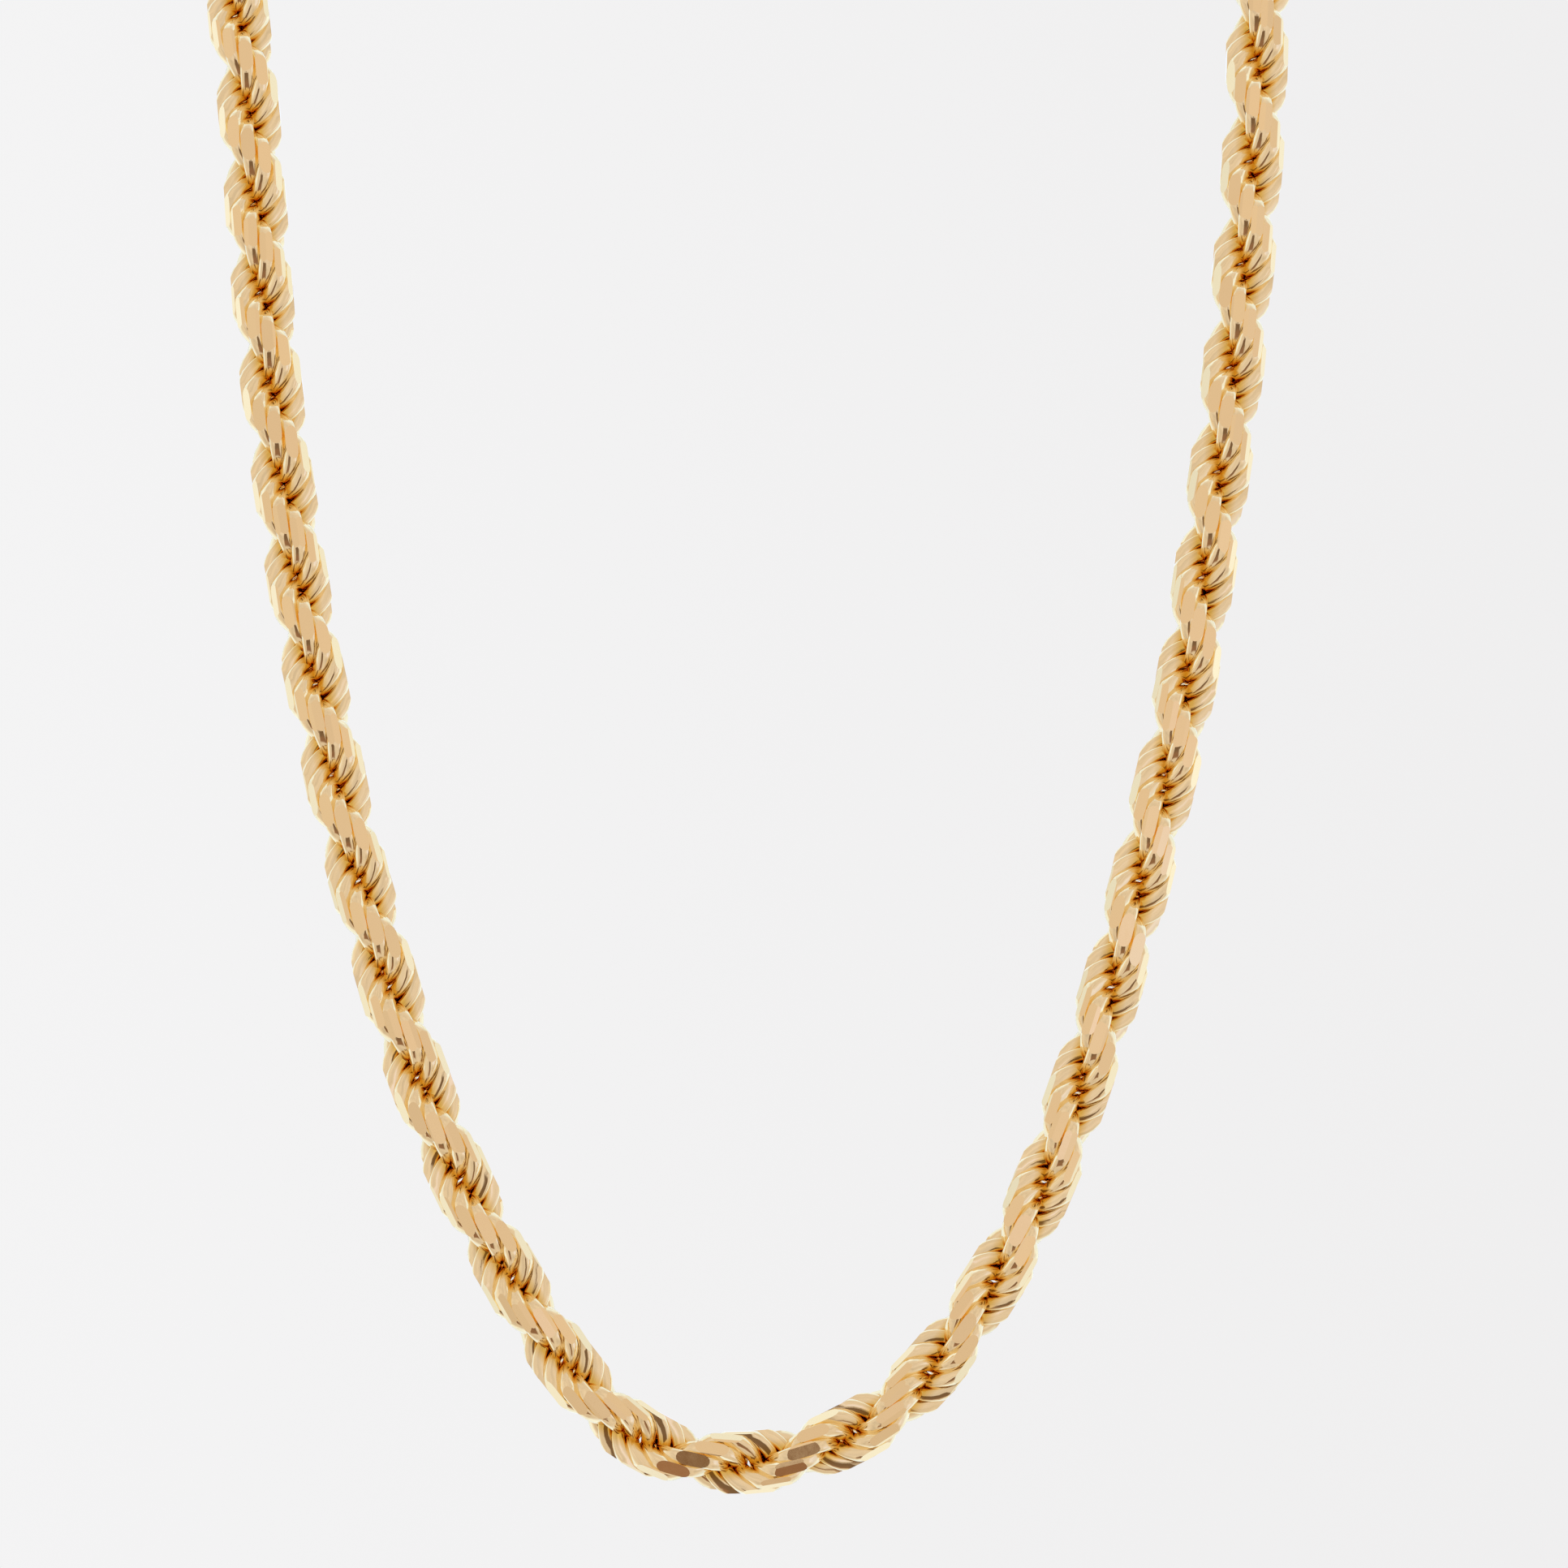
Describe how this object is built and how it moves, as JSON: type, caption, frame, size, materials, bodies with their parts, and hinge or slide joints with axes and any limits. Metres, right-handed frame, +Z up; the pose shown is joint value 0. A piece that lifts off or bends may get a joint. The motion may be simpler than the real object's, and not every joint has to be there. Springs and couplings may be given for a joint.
{
  "type": "rope chain necklace",
  "caption": "Closed neck chain of twisted interlocking rope links in its worn form, joined at the nape by a plain barrel clasp.",
  "frame": {"origin": "the point on the side of the barrel clasp that rests on the nape, at the middle of the clasp's length", "axes": "+Z up, -Y the way the wearer faces, +X from the wearer's right to left; the chain hangs in front at -Y and below at -Z"},
  "size_m": [0.1164, 0.1145, 0.1735],
  "materials": {
    "chain_gold": "polished",
    "clasp_gold": "polished"
  },
  "bodies": {
    "root": {"rope_chain": "chain_gold", "barrel_clasp": "clasp_gold"}
  },
  "joints": []
}
